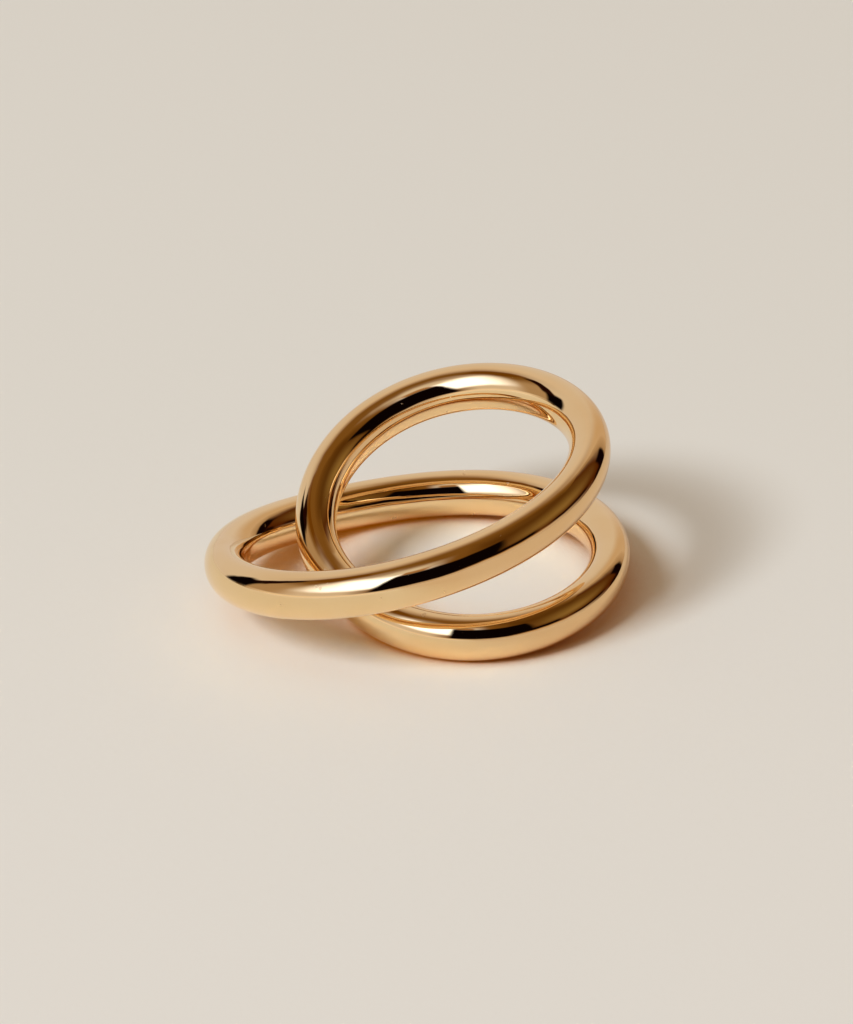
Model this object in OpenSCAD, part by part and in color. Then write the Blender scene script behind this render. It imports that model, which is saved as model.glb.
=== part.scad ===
// Spiral ring: one oval gold wire closed on itself after two turns round the finger.
// X runs to the right, Y away from the front band, Z up along the finger.
// The ring rests on Z = 0 with the middle of its outline over the origin.

/* [Wire] */
// Height of the oval wire, measured along the finger, mm
wire_height = 3.5; // [2.6:0.1:4]
// Thickness of the oval wire, measured out from the finger, mm
wire_thickness = 3; // [2.2:0.1:3.6]

/* [Ring] */
// Clear opening left for the finger, mm across
finger_opening = 17; // [14:0.1:22]
// Rise of the wire's middle line from its lowest to its highest place, mm
rise = 11.4; // [9:0.1:14]

/* [Hidden] */

gold = [0.83, 0.62, 0.32];

// The two turns are out of round, so their mean radius is a little more than a close fit.
loose_fit = 1.13;
mean_radius = (finger_opening + wire_thickness) / 2 * loose_fit;
full_path = 720;

// Stations, a row for each eighth of a turn along the wire.
// Columns: degrees along the wire from the right side of the low turn,
// reach from the finger's middle as a share of the mean radius,
// lift as a share of the rise,
// lean of the oval, degrees its top tips outward.
ALONG = 0;
REACH = 1;
LIFT = 2;
LEAN = 3;
stations = [
    [0, 1.28, 0.08, 11],
    [45, 1.35, 0.07, 14],
    [90, 1.19, 0.00, 17],
    [135, 1.08, 0.05, 18],
    [180, 1.18, 0.18, 14],
    [225, 1.22, 0.37, 2],
    [270, 1.10, 0.58, -10],
    [315, 1.08, 0.77, -13],
    [360, 1.14, 0.95, -4],
    [405, 1.05, 1.00, 10],
    [450, 0.86, 0.86, 17],
    [495, 0.72, 0.56, 15],
    [540, 0.59, 0.23, 7],
    [585, 0.49, 0.06, 2],
    [630, 0.67, 0.01, 3],
    [675, 0.99, 0.01, 7]
];

// The middle line is eased through the stations with a few smooth waves.
// The first wave takes both turns to come back to its start, the next takes one turn.
wave_count = 6;
path_steps = 176;
wire_sides = 30;

function total(list, from = 0) = from < len(list) ? list[from] + total(list, from + 1) : 0;
function average(column) = total([for (row = stations) row[column]]) / len(stations);
function cosine_size(column, wave) =
    2 * total([for (row = stations) row[column] * cos(wave * row[ALONG] / 2)]) / len(stations);
function sine_size(column, wave) =
    2 * total([for (row = stations) row[column] * sin(wave * row[ALONG] / 2)]) / len(stations);
function wave_sizes(column) =
    [for (wave = [1 : wave_count]) [cosine_size(column, wave), sine_size(column, wave)]];
function eased(middle, sizes, angle) =
    middle + total([for (wave = [1 : wave_count])
        sizes[wave - 1][0] * cos(wave * angle / 2) + sizes[wave - 1][1] * sin(wave * angle / 2)]);

reach_middle = average(REACH);
reach_waves = wave_sizes(REACH);
lift_middle = average(LIFT);
lift_waves = wave_sizes(LIFT);
lean_middle = average(LEAN);
lean_waves = wave_sizes(LEAN);

function radius_at(angle) = mean_radius * eased(reach_middle, reach_waves, angle);
function height_at(angle) = rise * eased(lift_middle, lift_waves, angle);
function lean_at(angle) = eased(lean_middle, lean_waves, angle);
function middle_line(angle) =
    [radius_at(angle) * cos(angle), radius_at(angle) * sin(angle), height_at(angle)];

// The long axis of the oval is as upright as the slope of the wire allows, then leans.
function unit(vector) = vector / norm(vector);
function heading(angle) = unit(middle_line(angle + 1) - middle_line(angle - 1));
function upright(direction) = unit([0, 0, 1] - direction[2] * direction);

function wire_outline(angle) =
    let (
        centre = middle_line(angle),
        direction = heading(angle),
        straight_up = upright(direction),
        straight_out = cross(direction, straight_up),
        lean = lean_at(angle),
        long_axis = cos(lean) * straight_up + sin(lean) * straight_out,
        short_axis = cos(lean) * straight_out - sin(lean) * straight_up
    )
    [for (side = [0 : wire_sides - 1])
        let (turn = 360 * side / wire_sides)
        centre
            + wire_thickness / 2 * cos(turn) * short_axis
            + wire_height / 2 * sin(turn) * long_axis];

loose_points = [for (step = [0 : path_steps - 1])
    each wire_outline(full_path * step / path_steps)];

function lowest(axis) = min([for (point = loose_points) point[axis]]);
function highest(axis) = max([for (point = loose_points) point[axis]]);
seat = [
    (lowest(0) + highest(0)) / 2,
    (lowest(1) + highest(1)) / 2,
    lowest(2)
];
points = [for (point = loose_points) point - seat];

function corner(step, side) = (step % path_steps) * wire_sides + side % wire_sides;
faces = [for (step = [0 : path_steps - 1], side = [0 : wire_sides - 1])
    each [
        [corner(step, side), corner(step, side + 1), corner(step + 1, side + 1)],
        [corner(step, side), corner(step + 1, side + 1), corner(step + 1, side)]
    ]];

// One closed wire: it crosses itself once at the front left with an open space between.
module band() {
    color(gold)
        polyhedron(points = points, faces = faces, convexity = 6);
}

band();
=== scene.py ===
"""Looks of the spiral ring: the polished gold band on pale paper in a small studio.

The band is built as one fine swept wire over the same middle line as the solid part.
All lengths are in millimetres until they become mesh points, which are in metres.
"""

import logging
import math
from dataclasses import dataclass, field
from enum import Enum

import bpy
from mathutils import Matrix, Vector


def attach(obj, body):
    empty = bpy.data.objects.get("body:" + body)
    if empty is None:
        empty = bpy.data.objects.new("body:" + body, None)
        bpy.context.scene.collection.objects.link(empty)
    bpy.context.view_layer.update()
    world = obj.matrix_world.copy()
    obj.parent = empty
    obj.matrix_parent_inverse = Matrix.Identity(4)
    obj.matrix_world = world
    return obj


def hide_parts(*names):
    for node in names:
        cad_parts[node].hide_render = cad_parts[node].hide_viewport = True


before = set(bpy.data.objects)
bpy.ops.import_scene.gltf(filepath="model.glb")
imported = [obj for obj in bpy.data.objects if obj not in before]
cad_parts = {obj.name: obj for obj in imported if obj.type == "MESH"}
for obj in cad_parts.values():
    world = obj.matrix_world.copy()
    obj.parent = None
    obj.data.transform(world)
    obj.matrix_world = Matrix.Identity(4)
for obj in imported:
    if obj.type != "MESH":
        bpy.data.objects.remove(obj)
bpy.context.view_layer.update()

LOG = logging.getLogger("spiral_ring")
MILLIMETRE = 0.001
Colour = tuple[float, float, float]
Direction = tuple[float, float, float]
Span = tuple[float, float]
WHOLE: Span = (0.0, 1.0)
WHITE: Colour = (1.0, 1.0, 1.0)


def sight_line(bearing: float, height: float) -> Vector:
    """Turns a bearing and a height above the floor into a direction.

    Args:
        bearing: degrees, 0 away from the camera, 90 to the right.
        height: degrees above the floor.

    Returns:
        The direction, one long.
    """
    turn, climb = math.radians(bearing), math.radians(height)
    flat = math.cos(climb)
    return Vector((math.sin(turn) * flat, math.cos(turn) * flat, math.sin(climb)))


class Measure(Enum):
    """Which of a station's measures a wave sum follows."""

    REACH = "reach"
    LIFT = "lift"
    LEAN = "lean"


class Sum(Enum):
    """The sums that the shader nodes work out."""

    ADD = "ADD"
    MULTIPLY = "MULTIPLY"
    ABSOLUTE = "ABSOLUTE"
    BEARING = "ARCTAN2"
    HEIGHT = "ARCSINE"


@dataclass(frozen=True)
class Station:
    """One place along the wire.

    Attributes:
        along: degrees along the wire from the right side of the low turn.
        reach: distance from the finger's middle, as a share of the mean radius.
        lift: height above the lowest place, as a share of the rise.
        lean: degrees the oval's top tips outward.
    """

    along: float
    reach: float
    lift: float
    lean: float


@dataclass
class WirePath:
    """The middle line of the wire, which closes on itself after two turns.

    Attributes:
        finger_opening: the clear opening left for the finger, in millimetres.
        loose_fit: the mean radius as a multiple of a close fit's.
        rise: from the line's lowest to its highest place, in millimetres.
        wire_thickness: the oval's thickness, out from the finger, in millimetres.
        wave_count: how many waves ease the line.
        full_path: degrees along both turns.
        stations: the places that the line is eased through.
        waves: the cosine and sine size of each measure's waves.
        middles: the average of each measure.
    """

    finger_opening: float = 17.0
    loose_fit: float = 1.13
    rise: float = 11.4
    wire_thickness: float = 3.0
    wave_count: int = 6
    full_path: float = 720.0
    stations: tuple[Station, ...] = (
        Station(0, 1.28, 0.08, 11),
        Station(45, 1.35, 0.07, 14),
        Station(90, 1.19, 0.00, 17),
        Station(135, 1.08, 0.05, 18),
        Station(180, 1.18, 0.18, 14),
        Station(225, 1.22, 0.37, 2),
        Station(270, 1.10, 0.58, -10),
        Station(315, 1.08, 0.77, -13),
        Station(360, 1.14, 0.95, -4),
        Station(405, 1.05, 1.00, 10),
        Station(450, 0.86, 0.86, 17),
        Station(495, 0.72, 0.56, 15),
        Station(540, 0.59, 0.23, 7),
        Station(585, 0.49, 0.06, 2),
        Station(630, 0.67, 0.01, 3),
        Station(675, 0.99, 0.01, 7),
    )
    waves: dict[Measure, list[tuple[float, float]]] = field(default_factory=dict)
    middles: dict[Measure, float] = field(default_factory=dict)

    def __post_init__(self) -> None:
        """Works out the waves that ease the line through its stations."""
        for measure in Measure:
            values = [getattr(station, measure.value) for station in self.stations]
            self.middles[measure] = sum(values) / len(values)
            self.waves[measure] = [
                self.wave_size(values, wave) for wave in range(1, self.wave_count + 1)
            ]

    def wave_size(self, values: list[float], wave: int) -> tuple[float, float]:
        """Gives one wave's cosine and sine size.

        Args:
            values: the measure at each station.
            wave: how many swings the wave makes over both turns.

        Returns:
            The cosine and the sine size.
        """
        angles = [math.radians(wave * station.along / 2) for station in self.stations]
        cosine = sum(value * math.cos(angle) for value, angle in zip(values, angles))
        sine = sum(value * math.sin(angle) for value, angle in zip(values, angles))
        return 2 * cosine / len(values), 2 * sine / len(values)

    def eased(self, measure: Measure, along: float) -> float:
        """Gives the measure anywhere along the wire.

        Args:
            measure: reach, lift or lean.
            along: degrees along the wire.

        Returns:
            The eased share, or degrees for the lean.
        """
        value = self.middles[measure]
        for wave, (cosine, sine) in enumerate(self.waves[measure], start=1):
            angle = math.radians(wave * along / 2)
            value += cosine * math.cos(angle) + sine * math.sin(angle)
        return value

    def middle(self, along: float) -> Vector:
        """Gives a point of the middle line.

        Args:
            along: degrees along the wire.

        Returns:
            The point in millimetres, before the ring is seated.
        """
        mean_radius = (self.finger_opening + self.wire_thickness) / 2 * self.loose_fit
        radius = mean_radius * self.eased(Measure.REACH, along)
        angle = math.radians(along)
        height = self.rise * self.eased(Measure.LIFT, along)
        return Vector((radius * math.cos(angle), radius * math.sin(angle), height))

    def axes(self, along: float) -> tuple[Vector, Vector]:
        """Gives the two axes of the oval section.

        Args:
            along: degrees along the wire.

        Returns:
            The short axis and the long axis, both one long.
        """
        heading = (self.middle(along + 1) - self.middle(along - 1)).normalized()
        upright = (Vector((0, 0, 1)) - heading.z * heading).normalized()
        outward = heading.cross(upright)
        lean = math.radians(self.eased(Measure.LEAN, along))
        long_axis = math.cos(lean) * upright + math.sin(lean) * outward
        short_axis = math.cos(lean) * outward - math.sin(lean) * upright
        return short_axis, long_axis


@dataclass(frozen=True)
class Clouds:
    """One cloud texture.

    Attributes:
        scale: clouds to the metre.
        detail: how many finer clouds are laid over the first.
    """

    scale: float
    detail: float


@dataclass(frozen=True)
class GoldFinish:
    """Mirror-polished yellow gold with the faint marks of handling.

    Attributes:
        name: the material's name.
        colour: the gold's own colour.
        warm_colour: its colour in the warmer clouds.
        tone: the clouds of colour, which are also very shallow hollows.
        tone_span: where in the clouds the colour turns warm.
        tone_depth: how deep the hollows are, in metres.
        roughness: the gloss where the gold is freshly polished.
        worn_roughness: the gloss where handling has worn it.
        wear: the fine grain of the worn gloss.
        wear_span: where in the grain the gloss is lost.
        speck_roughness: how much duller the tiny specks are.
        specks: the clouds whose peaks are the specks.
        speck_span: where in their clouds a speck begins and is full.
        ripple: the low ripple that polishing leaves.
        ripple_depth: how high the ripple stands, in metres.
    """

    name: str = "polished_gold"
    colour: Colour = (0.96, 0.715, 0.40)
    warm_colour: Colour = (0.935, 0.665, 0.345)
    tone: Clouds = Clouds(scale=170.0, detail=3.0)
    tone_span: Span = (0.35, 0.8)
    tone_depth: float = 0.00004
    roughness: float = 0.015
    worn_roughness: float = 0.045
    wear: Clouds = Clouds(scale=5200.0, detail=2.0)
    wear_span: Span = (0.35, 0.75)
    speck_roughness: float = 0.35
    specks: Clouds = Clouds(scale=1300.0, detail=1.0)
    speck_span: Span = (0.76, 0.80)
    ripple: Clouds = Clouds(scale=420.0, detail=1.0)
    ripple_depth: float = 0.00002

    def material(self) -> bpy.types.Material:
        """Makes the gold's material.

        Returns:
            A material with colour, gloss and bump from nodes.
        """
        material = bpy.data.materials.new(self.name)
        material.use_nodes = True
        tree = NodeSheet(material.node_tree)
        shader = material.node_tree.nodes["Principled BSDF"]
        shader.inputs["Metallic"].default_value = 1.0
        place = tree.add("ShaderNodeTexCoord").outputs["Object"]
        tone = tree.noise(place, self.tone)
        tint = tree.mix_colours(tone, self.colour, self.warm_colour, self.tone_span)
        tree.join(tint, shader.inputs["Base Color"])
        worn = (self.roughness, self.worn_roughness)
        gloss = tree.remap(tree.noise(place, self.wear), self.wear_span, worn)
        speck = tree.remap(tree.noise(place, self.specks), self.speck_span)
        dull = tree.math(Sum.MULTIPLY, speck, self.speck_roughness)
        tree.join(tree.math(Sum.ADD, gloss, dull), shader.inputs["Roughness"])
        hollow = tree.bump(tone, self.tone_depth)
        wave = tree.bump(tree.noise(place, self.ripple), self.ripple_depth, over=hollow)
        tree.join(wave, shader.inputs["Normal"])
        return material


@dataclass(frozen=True)
class Shade:
    """A painted shade: how much of the paper's colour is left, darker and browner, where the
    gold close by shelters it from the key light.

    Attributes:
        openness: the share of the key's side that stays open, from 0 to 1.
        colour: what is left of red, green and blue.
    """

    openness: float
    colour: Colour


@dataclass(frozen=True)
class PaperFinish:
    """Pale, warm, slightly toothed paper, with painted shade browner where the gold shelters
    it, a painted warm glow, a painted dimming on the right in the gold's reflection and a
    painted darkening further back.

    Attributes:
        name: the material's name.
        near_colour: its colour in front of the ring.
        far_colour: its colour behind the ring, a little darker: a painted falloff of the
            light.
        depth_span: where it turns from near to far, in metres along Y.
        roughness: how matt it is.
        specular_level: how little it shines.
        key_direction: where the key light stands.
        shelter_reach: how far gold shelters the paper, in metres.
        shelter_samples: how finely the shelter is felt for.
        painted_shades: the painted shade, what the gold close by leaves of the paper's colour
            where it shelters the paper from the key.
        painted_glow_colour: a painted warm glow, given off by the paper itself, standing for
            the light that the gold throws on the paper under it.
        painted_glow_span: the openness between which the painted glow fades out.
        painted_glow_side_span: where the painted glow fades from left to right, in metres
            along X.
        painted_glow_right: the share of the painted glow that is left on the right.
        painted_reflection_colour: a painted reflection, what is left of the paper's colour on
            the right as the gold mirrors it.
        painted_reflection_span: where the painted reflection dims from left to right, in
            metres along X.
        tooth: the paper's tooth.
        tooth_depth: how far the tooth stands out, in metres.
        tooth_strength: how much of it shows.
    """

    name: str = "pale_paper"
    near_colour: Colour = (0.81, 0.765, 0.71)
    far_colour: Colour = (0.79, 0.75, 0.69)
    depth_span: Span = (-0.03, 0.05)
    roughness: float = 0.9
    specular_level: float = 0.2
    key_direction: Direction = (-0.55, -0.51, 0.66)
    shelter_reach: float = 0.008
    shelter_samples: int = 6
    painted_shades: tuple[Shade, ...] = (
        Shade(0.34, (0.40, 0.10, 0.01)),
        Shade(0.50, (0.70, 0.36, 0.13)),
        Shade(0.58, (0.92, 0.69, 0.46)),
        Shade(0.66, (1.00, 0.93, 0.84)),
        Shade(0.80, (1.00, 1.00, 1.00)),
    )
    painted_glow_colour: Colour = (0.14, 0.045, 0.0)
    painted_glow_span: Span = (0.3, 1.0)
    painted_glow_side_span: Span = (-0.004, 0.009)
    painted_glow_right: float = 0.15
    painted_reflection_colour: Colour = (0.90, 0.81, 0.76)
    painted_reflection_span: Span = (-0.003, 0.016)
    tooth: Clouds = Clouds(scale=2600.0, detail=4.0)
    tooth_depth: float = 0.00003
    tooth_strength: float = 0.15

    def material(self) -> bpy.types.Material:
        """Makes the paper's material.

        Returns:
            A matt material with painted shade, darker further away and browner beside the
            gold, with a painted warm glow and a painted dimming in the gold's reflection.
        """
        material = bpy.data.materials.new(self.name)
        material.use_nodes = True
        tree = NodeSheet(material.node_tree)
        shader = material.node_tree.nodes["Principled BSDF"]
        shader.inputs["Roughness"].default_value = self.roughness
        shader.inputs["Specular IOR Level"].default_value = self.specular_level
        # Painted light: the paper's emission is a warm glow standing for the light that the
        # gold throws on it.
        shader.inputs["Emission Color"].default_value = (*self.painted_glow_colour, 1.0)
        place = tree.add("ShaderNodeTexCoord").outputs["Object"]
        split = tree.add("ShaderNodeSeparateXYZ")
        tree.join(place, split.inputs[0])
        # Painted shade: the paper is painted a little darker further back.
        depth = tree.remap(split.outputs["Y"], self.depth_span)
        tint = tree.mix_colours(depth, self.near_colour, self.far_colour)
        openness = self.openness(tree)
        # Painted shade: where gold close by shelters the paper from the key light, its colour
        # is made darker and browner.
        painted_shade_tint = tree.multiply_colours(tint, tree.ramp(openness, self.painted_shades))
        # Painted reflection: only as the gold mirrors it, the paper is made dimmer towards the
        # right.
        mirror = tree.add("ShaderNodeLightPath").outputs["Is Glossy Ray"]
        right = tree.remap(split.outputs["X"], self.painted_reflection_span)
        share = tree.math(Sum.MULTIPLY, right, mirror)
        painted_reflection_dimming = tree.mix_colours(share, WHITE, self.painted_reflection_colour)
        tree.join(tree.multiply_colours(painted_shade_tint, painted_reflection_dimming), shader.inputs["Base Color"])
        # Painted light: the glow shows where gold shelters the paper, and fades from left to
        # right.
        close = tree.remap(openness, self.painted_glow_span, (1.0, 0.0))
        left = tree.remap(split.outputs["X"], self.painted_glow_side_span, (1.0, self.painted_glow_right))
        tree.join(tree.math(Sum.MULTIPLY, close, left), shader.inputs["Emission Strength"])
        tooth = tree.bump(tree.noise(place, self.tooth), self.tooth_depth, self.tooth_strength)
        tree.join(tooth, shader.inputs["Normal"])
        return material

    def openness(self, tree: "NodeSheet") -> bpy.types.NodeSocket:
        """Measures how open the paper lies to the key light, which sets the painted shade and
        the painted glow.

        Args:
            tree: the paper's nodes.

        Returns:
            The share of the key's side that no gold shelters.
        """
        toward_key = tree.add("ShaderNodeNormal")
        toward_key.outputs["Normal"].default_value = self.key_direction
        shelter = tree.add("ShaderNodeAmbientOcclusion")
        shelter.samples = self.shelter_samples
        shelter.inputs["Distance"].default_value = self.shelter_reach
        tree.join(toward_key.outputs["Normal"], shelter.inputs["Normal"])
        return shelter.outputs["AO"]


@dataclass
class NodeSheet:
    """Small helpers for laying out shader nodes.

    Attributes:
        tree: the nodes of one material or of the world.
    """

    tree: bpy.types.NodeTree

    def add(self, kind: str) -> bpy.types.Node:
        """Adds a node of that kind."""
        return self.tree.nodes.new(kind)

    def join(self, source: bpy.types.NodeSocket, target: bpy.types.NodeSocket) -> None:
        """Joins an output to an input."""
        self.tree.links.new(source, target)

    def noise(self, place: bpy.types.NodeSocket, clouds: Clouds) -> bpy.types.NodeSocket:
        """Adds a cloud texture.

        Args:
            place: where the texture is read.
            clouds: the texture's scale and detail.

        Returns:
            The texture's value, from 0 to 1.
        """
        node = self.add("ShaderNodeTexNoise")
        node.inputs["Scale"].default_value = clouds.scale
        node.inputs["Detail"].default_value = clouds.detail
        self.join(place, node.inputs["Vector"])
        return node.outputs["Fac"]

    def remap(
        self, value: bpy.types.NodeSocket, source: Span, result: Span = WHOLE
    ) -> bpy.types.NodeSocket:
        """Turns one range of values into another, with soft ends.

        Args:
            value: what is turned.
            source: the value's two ends.
            result: what comes out at each end.

        Returns:
            The new value.
        """
        node = self.add("ShaderNodeMapRange")
        node.interpolation_type = "SMOOTHSTEP"
        ends = ("From Min", "From Max", "To Min", "To Max")
        for name, number in zip(ends, (*source, *result)):
            node.inputs[name].default_value = number
        self.join(value, node.inputs["Value"])
        return node.outputs["Result"]

    def ramp(
        self, value: bpy.types.NodeSocket, painted_shades: tuple[Shade, ...]
    ) -> bpy.types.NodeSocket:
        """Adds a run of colours.

        Args:
            value: what runs along the colours.
            painted_shades: the colours and where they stand.

        Returns:
            The colour at the value.
        """
        node = self.add("ShaderNodeValToRGB")
        stops = node.color_ramp.elements
        while len(stops) < len(painted_shades):
            stops.new(1.0)
        for stop, shade in zip(stops, painted_shades):
            stop.position = shade.openness
            stop.color = (*shade.colour, 1.0)
        self.join(value, node.inputs["Fac"])
        return node.outputs["Color"]

    def math(
        self,
        kind: Sum,
        first: bpy.types.NodeSocket | float,
        second: bpy.types.NodeSocket | float = 0.0,
    ) -> bpy.types.NodeSocket:
        """Adds one sum on one or two values.

        Args:
            kind: which sum.
            first: a socket or a number.
            second: a socket or a number, left out where the sum is on one value.

        Returns:
            The result.
        """
        node = self.add("ShaderNodeMath")
        node.operation = kind.value
        for socket, value in zip(node.inputs, (first, second)):
            if isinstance(value, (int, float)):
                socket.default_value = value
            else:
                self.join(value, socket)
        return node.outputs[0]

    def mix_colours(
        self,
        factor: bpy.types.NodeSocket,
        first: bpy.types.NodeSocket | Colour,
        second: bpy.types.NodeSocket | Colour,
        span: Span = WHOLE,
    ) -> bpy.types.NodeSocket:
        """Mixes two colours.

        Args:
            factor: what drives the mix.
            first: the colour at the factor's low end.
            second: the colour at its high end.
            span: the factor's two ends.

        Returns:
            The mixed colour.
        """
        node = self.add("ShaderNodeMix")
        node.data_type = "RGBA"
        share = factor if span == WHOLE else self.remap(factor, span)
        self.join(share, node.inputs["Factor"])
        for name, value in (("A", first), ("B", second)):
            socket = [s for s in node.inputs if s.name == name and s.type == "RGBA"][0]
            if isinstance(value, tuple):
                socket.default_value = (*value, 1.0)
            else:
                self.join(value, socket)
        return [s for s in node.outputs if s.type == "RGBA"][0]

    def multiply_colours(
        self, first: bpy.types.NodeSocket, second: bpy.types.NodeSocket
    ) -> bpy.types.NodeSocket:
        """Multiplies two colours, each of red, green and blue by itself."""
        node = self.add("ShaderNodeVectorMath")
        node.operation = Sum.MULTIPLY.value
        self.join(first, node.inputs[0])
        self.join(second, node.inputs[1])
        return node.outputs["Vector"]

    def bump(
        self,
        height: bpy.types.NodeSocket,
        depth: float,
        strength: float = 1.0,
        over: bpy.types.NodeSocket | None = None,
    ) -> bpy.types.NodeSocket:
        """Adds relief to the surface.

        Args:
            height: the relief's height, from 0 to 1.
            depth: how far the relief stands out, in metres.
            strength: how much of it shows.
            over: the normal of a coarser relief that this one lies over.

        Returns:
            The new normal.
        """
        node = self.add("ShaderNodeBump")
        node.inputs["Strength"].default_value = strength
        node.inputs["Distance"].default_value = depth
        self.join(height, node.inputs["Height"])
        if over is not None:
            self.join(over, node.inputs["Normal"])
        return node.outputs["Normal"]


@dataclass
class RingBand:
    """The ring's only piece: the oval wire swept along its path.

    Attributes:
        path: the wire's middle line.
        wire_height: the oval's height, along the finger, in millimetres.
        steps: how many ovals the wire is swept through.
        sides: how many points each oval has.
        finish: the wire's finish.
    """

    path: WirePath = field(default_factory=WirePath)
    wire_height: float = 3.5
    steps: int = 960
    sides: int = 80
    finish: GoldFinish = field(default_factory=GoldFinish)

    def outline(self, along: float) -> list[Vector]:
        """Gives the oval's points at one place.

        Args:
            along: degrees along the wire.

        Returns:
            The points in millimetres, before the ring is seated.
        """
        centre = self.path.middle(along)
        short_axis, long_axis = self.path.axes(along)
        points = []
        for side in range(self.sides):
            turn = 2 * math.pi * side / self.sides
            across = self.path.wire_thickness / 2 * math.cos(turn) * short_axis
            upward = self.wire_height / 2 * math.sin(turn) * long_axis
            points.append(centre + across + upward)
        return points

    def build(self) -> bpy.types.Object:
        """Builds the wire and seats it on the floor over the origin.

        Returns:
            The band's object.
        """
        points = []
        for step in range(self.steps):
            points += self.outline(self.path.full_path * step / self.steps)
        low = Vector([min(point[axis] for point in points) for axis in range(3)])
        high = Vector([max(point[axis] for point in points) for axis in range(3)])
        seat = Vector(((low.x + high.x) / 2, (low.y + high.y) / 2, low.z))
        places = [(point - seat) * MILLIMETRE for point in points]
        faces = []
        for step in range(self.steps):
            here = step * self.sides
            there = (step + 1) % self.steps * self.sides
            for side in range(self.sides):
                after = (side + 1) % self.sides
                faces.append((here + side, there + side, there + after, here + after))
        mesh = bpy.data.meshes.new("ring_band")
        mesh.from_pydata(places, [], faces)
        mesh.polygons.foreach_set("use_smooth", [True] * len(faces))
        mesh.update()
        band = bpy.data.objects.new("ring_band", mesh)
        bpy.context.scene.collection.objects.link(band)
        return band

    def dress(self, band: bpy.types.Object) -> None:
        """Gives the band its finish and its place in the frame.

        Args:
            band: the band's object.
        """
        band.data.materials.append(self.finish.material())
        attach(band, "root")
        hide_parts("band")

    def make(self) -> bpy.types.Object:
        """Builds and dresses the band."""
        band = self.build()
        self.dress(band)
        return band


@dataclass(frozen=True)
class Card:
    """One bright or dark field of the studio, as the ring reflects it.

    Attributes:
        name: what the field is.
        bearing: the middle's bearing in degrees, 0 away from the camera, 90 to the right.
        half_width: half its width in degrees.
        low: its lower edge in degrees above the floor.
        high: its upper edge in degrees.
        side_blur: how far its side edges fade, in degrees.
        end_blur: how far its lower and upper edges fade, in degrees.
        light: its light, red, green and blue.
    """

    name: str
    bearing: float
    half_width: float
    low: float
    high: float
    side_blur: float
    end_blur: float
    light: Colour


@dataclass(frozen=True)
class KeyLight:
    """The softbox as it lights the paper, from the left and a little behind the camera.

    Attributes:
        bearing: where it stands in degrees, 0 away from the camera, 90 to the right.
        height: degrees above the floor.
        distance: metres from the ring.
        diameter: metres across.
        power: its strength in watts.
        colour: its colour.
    """

    bearing: float = -132.8
    height: float = 41.3
    distance: float = 3.0
    diameter: float = 1.0
    power: float = 81.0
    colour: Colour = (0.81, 0.91, 1.0)

    def hang(self) -> bpy.types.Object:
        """Hangs the light and turns it to the ring.

        Returns:
            The light's object.
        """
        data = bpy.data.lights.new("key_light", "AREA")
        data.shape = "DISK"
        data.size = self.diameter
        data.energy = self.power
        data.color = self.colour
        light = bpy.data.objects.new("key_light", data)
        bpy.context.scene.collection.objects.link(light)
        toward = sight_line(self.bearing, self.height)
        light.location = toward * self.distance
        light.rotation_mode = "QUATERNION"
        light.rotation_quaternion = (-toward).to_track_quat("-Z", "Y")
        light.visible_glossy = False
        return light


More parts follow.
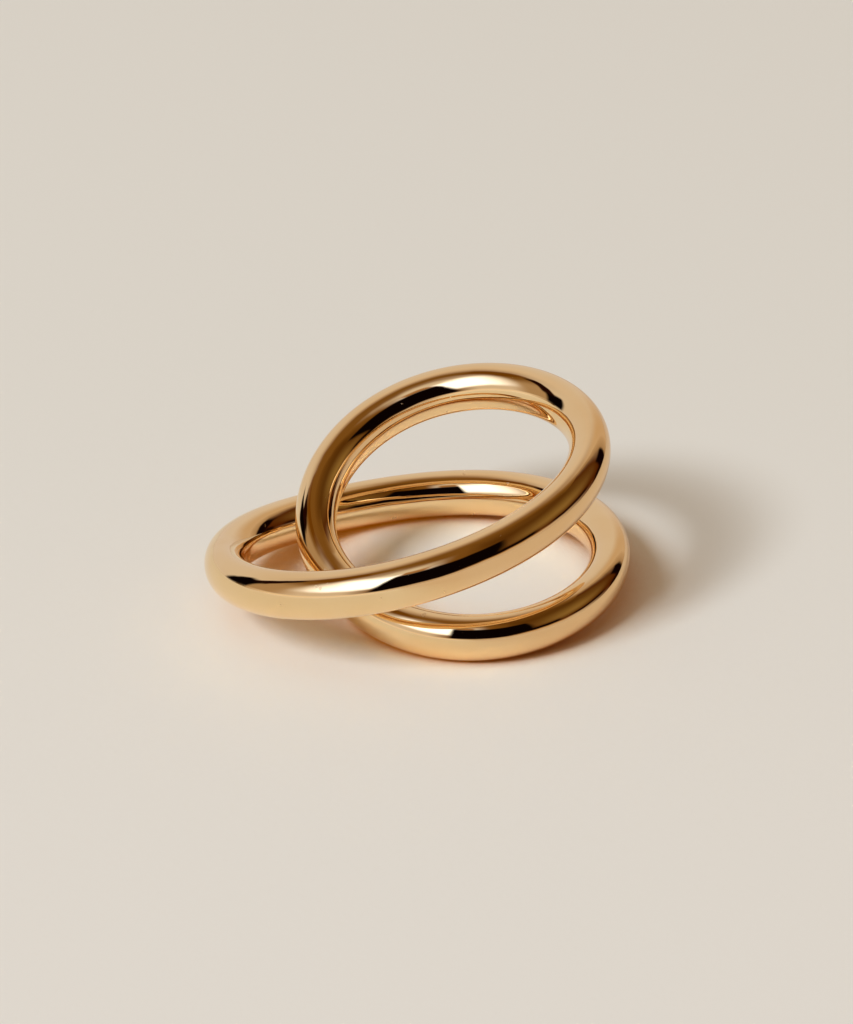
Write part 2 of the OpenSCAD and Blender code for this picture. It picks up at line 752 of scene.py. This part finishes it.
@dataclass
class Studio:
    """The room round the ring: a softbox, a pale sweep behind and dark gaps between.

    Attributes:
        room_light: what the ring mirrors where no card stands.
        view_light: what the camera sees past the paper's rim.
        soft_light: the soft light on the paper from all round.
        cards: the fields that the ring mirrors, each over the ones before it.
        thrown: the softbox as the gold throws its light down on the paper.
        floor_radius: metres from the ring to the paper's rim.
        floor_sides: how many straight sides the rim has.
        paper: the paper's finish.
        key: the light on the paper.
    """

    room_light: Colour = (0.190, 0.090, 0.019)
    view_light: Colour = (0.72, 0.68, 0.61)
    soft_light: Colour = (0.42, 0.34, 0.25)
    cards: tuple[Card, ...] = (
        Card("right wall", 93, 42.5, -2, 56, 3, 2, (0.076, 0.018, 0.001)),
        Card("right wall glow", 103, 25, 18, 63, 48, 22, (0.290, 0.186, 0.059)),
        Card("upper right", 109, 41, 38, 75, 29, 50, (0.084, 0.031, 0.003)),
        Card("left wall", -101, 27, -15, 40, 10, 20, (0.411, 0.288, 0.181)),
        Card("left wall top", -103, 37, 52, 68, 6, 2, (0.149, 0.056, 0.004)),
        Card("overhead", -23, 36, 30, 68, 49, 37, (0.710, 0.574, 0.474)),
        Card("sweep", -15, 56, -30, 54, 4, 46, (0.682, 0.618, 0.588)),
        Card("sweep right", 35, 14, -30, 58, 26, 50, (0.579, 0.433, 0.301)),
        Card("left gap", -70.2, 10.8, 1, 28, 5, 6, (0.003, 0.001, 0.001)),
        Card("left gap top", -77, 6.5, 24, 50, 4, 8, (0.015, 0.003, 0.001)),
        Card("right gap", 55.5, 5.5, -2, 25, 3, 8, (0.005, 0.001, 0.001)),
        Card("right gap foot", 64, 5, -2, 8, 6, 6, (0.012, 0.003, 0.001)),
        Card("right wall foot", 92, 15, 5, 12, 8, 4, (0.020, 0.005, 0.001)),
        Card("softbox glow", -134, 23, -16, 64, 25, 33, (0.658, 0.587, 0.560)),
        Card("softbox", -150, 27, 20, 56, 40, 12, (1.9, 2.15, 2.8)),
        Card("upper lamp", -164, 19, 52, 69, 34, 14, (0.687, 0.636, 0.611)),
        Card("over the camera", -173, 9, 47, 57, 6, 6, (0.380, 0.200, 0.080)),
        Card("camera side", 165.8, 30.9, 5.5, 49, 5, 6, (0.003, 0.001, 0.001)),
        Card("low right gap", 129, 12.5, 6, 17.5, 6, 6, (0.004, 0.001, 0.001)),
        Card("near table", -138, 48, -10, 5, 42, 5, (0.843, 0.748, 0.676)),
        Card("right table", 129, 18, -10, 8, 23, 5, (0.491, 0.287, 0.130)),
        Card("right floor edge", 133, 46, -1, 5, 41, 5, (0.608, 0.498, 0.426)),
    )
    thrown: Card = Card("thrown softbox", -144, 18, 26, 52, 14, 22, (20.0, 21.5, 20.5))
    floor_radius: float = 1.5
    floor_sides: int = 96
    paper: PaperFinish = field(default_factory=PaperFinish)
    key: KeyLight = field(default_factory=KeyLight)

    def card_share(
        self, sheet: NodeSheet, direction: bpy.types.NodeSocket, card: Card
    ) -> bpy.types.NodeSocket:
        """Says how much of a card shows in a direction.

        Args:
            sheet: the world's nodes.
            direction: where the ray looks.
            card: the card.

        Returns:
            A share from 0 to 1.
        """
        bearing = math.radians(card.bearing)
        ahead = self.dot(sheet, direction, (math.sin(bearing), math.cos(bearing), 0.0))
        aside = self.dot(sheet, direction, (math.cos(bearing), -math.sin(bearing), 0.0))
        turn = sheet.math(Sum.ABSOLUTE, sheet.math(Sum.BEARING, aside, ahead))
        up = sheet.math(Sum.HEIGHT, self.dot(sheet, direction, (0.0, 0.0, 1.0)))
        edge, side_blur = math.radians(card.half_width), math.radians(card.side_blur) / 2
        end_blur = math.radians(card.end_blur) / 2
        low, high = math.radians(card.low), math.radians(card.high)
        side = sheet.remap(turn, (edge - side_blur, edge + side_blur), (1.0, 0.0))
        foot = sheet.remap(up, (low - end_blur, low + end_blur))
        head = sheet.remap(up, (high - end_blur, high + end_blur), (1.0, 0.0))
        return sheet.math(Sum.MULTIPLY, side, sheet.math(Sum.MULTIPLY, foot, head))

    def dot(
        self, sheet: NodeSheet, direction: bpy.types.NodeSocket, axis: Direction
    ) -> bpy.types.NodeSocket:
        """Measures a direction along an axis.

        Args:
            sheet: the world's nodes.
            direction: where the ray looks.
            axis: the axis, one long.

        Returns:
            The length along the axis.
        """
        node = sheet.add("ShaderNodeVectorMath")
        node.operation = "DOT_PRODUCT"
        sheet.join(direction, node.inputs[0])
        node.inputs[1].default_value = axis
        return node.outputs["Value"]

    def light_room(self) -> None:
        """Lights the scene from the studio's cards.

        The gold mirrors the cards. The paper gets the even soft light instead, and
        beside the key it gets the softbox's full light only by way of the gold.
        """
        world = bpy.data.worlds.new("studio")
        world.use_nodes = True
        world.cycles.sampling_method = "NONE"
        bpy.context.scene.world = world
        sheet = NodeSheet(world.node_tree)
        direction = sheet.add("ShaderNodeTexCoord").outputs["Generated"]
        rays = sheet.add("ShaderNodeLightPath").outputs
        colour: bpy.types.NodeSocket | Colour = self.room_light
        for card in self.cards:
            share = self.card_share(sheet, direction, card)
            colour = sheet.mix_colours(share, colour, card.light)
        share = self.card_share(sheet, direction, self.thrown)
        share = sheet.math(Sum.MULTIPLY, share, rays["Diffuse Depth"])
        colour = sheet.mix_colours(share, colour, self.thrown.light)
        colour = sheet.mix_colours(rays["Is Diffuse Ray"], colour, self.soft_light)
        colour = sheet.mix_colours(rays["Is Camera Ray"], colour, self.view_light)
        background = world.node_tree.nodes["Background"]
        sheet.join(colour, background.inputs["Color"])

    def lay_floor(self) -> bpy.types.Object:
        """Lays the paper that the ring rests on.

        Returns:
            The floor's object.
        """
        places = [(0.0, 0.0, 0.0)]
        for step in range(self.floor_sides):
            angle = 2 * math.pi * step / self.floor_sides
            place = (self.floor_radius * math.cos(angle), self.floor_radius * math.sin(angle))
            places.append((*place, 0.0))
        faces = [
            (0, 1 + step, 1 + (step + 1) % self.floor_sides)
            for step in range(self.floor_sides)
        ]
        mesh = bpy.data.meshes.new("paper_floor")
        mesh.from_pydata(places, [], faces)
        mesh.materials.append(self.paper.material())
        floor = bpy.data.objects.new("paper_floor", mesh)
        bpy.context.scene.collection.objects.link(floor)
        return floor


@dataclass(frozen=True)
class StudioCamera:
    """The camera, aimed as in the photograph.

    Attributes:
        aim: the point in the middle of the picture, in millimetres.
        bearing: where it stands in degrees, 0 behind the ring, 180 in front.
        elevation: degrees above the floor.
        distance: millimetres from the aim.
        lens: its focal length in millimetres.
        sensor: its sensor's width in millimetres.
        near: the nearest thing it shows, in metres.
        far: the furthest thing it shows, in metres.
    """

    aim: tuple[float, float, float] = (0.56, 0.01, 7.03)
    bearing: float = 180.283
    elevation: float = 27.255
    distance: float = 263.28
    lens: float = 127.29
    sensor: float = 36.0
    near: float = 0.01
    far: float = 10.0

    def place(self) -> bpy.types.Object:
        """Puts the camera in the scene.

        Returns:
            The camera's object.
        """
        data = bpy.data.cameras.new("camera")
        data.lens = self.lens
        data.sensor_width = self.sensor
        data.clip_start = self.near
        data.clip_end = self.far
        camera = bpy.data.objects.new("camera", data)
        bpy.context.scene.collection.objects.link(camera)
        back = sight_line(self.bearing, self.elevation)
        camera.location = (Vector(self.aim) + back * self.distance) * MILLIMETRE
        camera.rotation_mode = "QUATERNION"
        camera.rotation_quaternion = (-back).to_track_quat("-Z", "Y")
        bpy.context.scene.camera = camera
        return camera


def main() -> None:
    """Builds the camera, the studio and the ring."""
    logging.basicConfig(level=logging.INFO, format="%(message)s")
    bpy.context.scene.view_settings.view_transform = "Standard"
    StudioCamera().place()
    studio = Studio()
    studio.light_room()
    studio.lay_floor()
    studio.key.hang()
    band = RingBand().make()
    LOG.info("built %s with %d faces", band.name, len(band.data.polygons))


if __name__ == "__main__":
    main()
